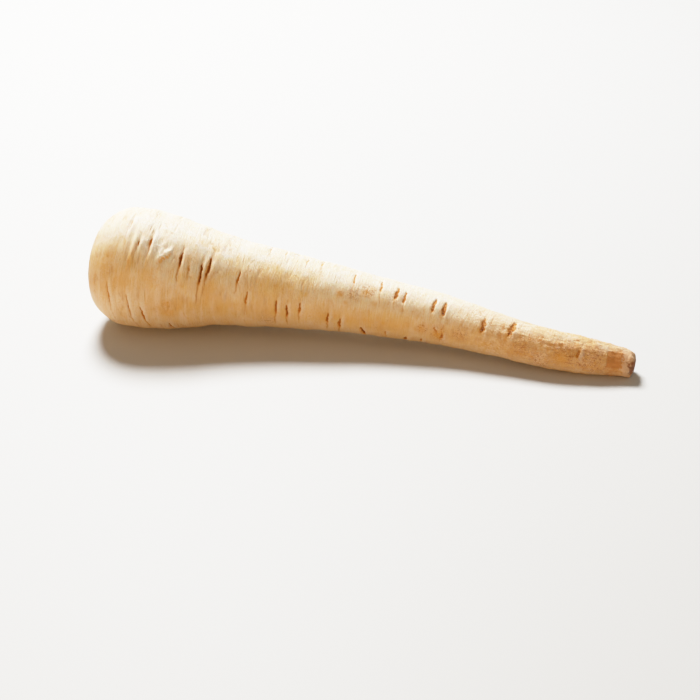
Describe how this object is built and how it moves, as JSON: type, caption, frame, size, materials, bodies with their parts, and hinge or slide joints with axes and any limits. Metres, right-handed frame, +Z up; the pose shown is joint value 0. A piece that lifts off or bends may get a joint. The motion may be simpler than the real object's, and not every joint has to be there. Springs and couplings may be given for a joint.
{
  "type": "parsnip",
  "caption": "Long tapering cream root, topped at the crown and snapped at the tail, with brown slits across its skin, lying on its side.",
  "frame": {"origin": "middle of the footprint, on the surface that the root lies on", "axes": "+X along the root from the crown to the tail, +Z up"},
  "size_m": [0.2654, 0.0574, 0.0577],
  "materials": {
    "skin": "cream to tan root skin with a dull waxy sheen, fine lines and small brown slits across the root"
  },
  "bodies": {
    "root": {"parsnip": "skin"}
  },
  "joints": []
}
